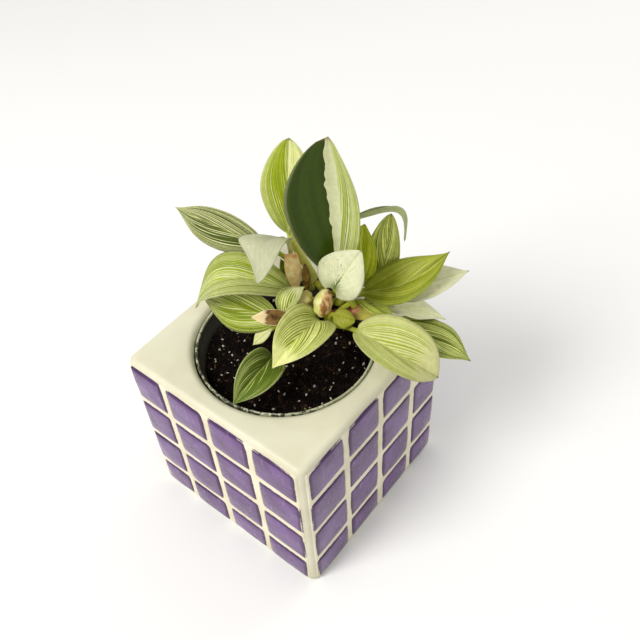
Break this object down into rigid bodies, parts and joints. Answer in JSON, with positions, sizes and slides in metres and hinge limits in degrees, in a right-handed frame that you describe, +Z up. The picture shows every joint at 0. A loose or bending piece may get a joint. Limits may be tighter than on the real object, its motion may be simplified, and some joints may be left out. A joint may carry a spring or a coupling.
{
  "type": "potted philodendron",
  "caption": "Variegated philodendron houseplant in a round nursery pot set inside a square planter faced with purple mosaic tiles.",
  "frame": {"origin": "middle of the planter's underside, where it rests on a surface", "axes": "+Z up; the planter's four faces look along -Y (front), +X (right), +Y (back) and -X (left)"},
  "size_m": [0.114, 0.0887, 0.165],
  "materials": {
    "cast_cream": "matt cast body with small pits and dark specks",
    "purple_tile": "glossy domed glaze",
    "cream_grout": "matt, slightly rough",
    "nursery_plastic": "thin grey-green plastic, dusty with soil",
    "potting_mix": "dark crumbly mix of bark and peat with white perlite",
    "stem": "satin green stem",
    "leaf": "satin leaf, green with cream stripes and patches",
    "dry_sheath": "dry papery brown, cream and pink in places",
    "shoot": "smooth pale green bud"
  },
  "bodies": {
    "root": {"planter_body": "cast_cream", "tiles_front": "purple_tile", "grout_front": "cream_grout", "tiles_right": "purple_tile", "grout_right": "cream_grout", "tiles_back": "purple_tile", "grout_back": "cream_grout", "tiles_left": "purple_tile", "grout_left": "cream_grout", "nursery_pot": "nursery_plastic", "potting_mix": "potting_mix", "stem": "stem", "leaf_tall_front": "leaf", "leaf_tall_back": "leaf", "leaf_left_striped": "leaf", "leaf_centre_cream": "leaf", "leaf_folded_cream": "leaf", "leaf_left_large": "leaf", "leaf_left_lower": "leaf", "leaf_small_upright": "leaf", "leaf_front_centre": "leaf", "leaf_over_soil": "leaf", "leaf_right_pale": "leaf", "leaf_right_dark": "leaf", "leaf_right_green": "leaf", "leaf_right_cream_far": "leaf", "leaf_right_cream_low": "leaf", "leaf_narrow_olive": "leaf", "leaf_upright_striped": "leaf", "leaf_small_right": "leaf", "leaf_arching": "leaf", "leaf_dark_sliver": "leaf", "bract_green": "leaf", "bract_left": "leaf", "sheath_dry": "dry_sheath", "sheath_pink": "dry_sheath", "sheath_cream": "dry_sheath", "sheath_brown": "dry_sheath", "bud_scale": "dry_sheath", "crown_swelling": "shoot", "shoot_sheath": "shoot"}
  },
  "joints": []
}
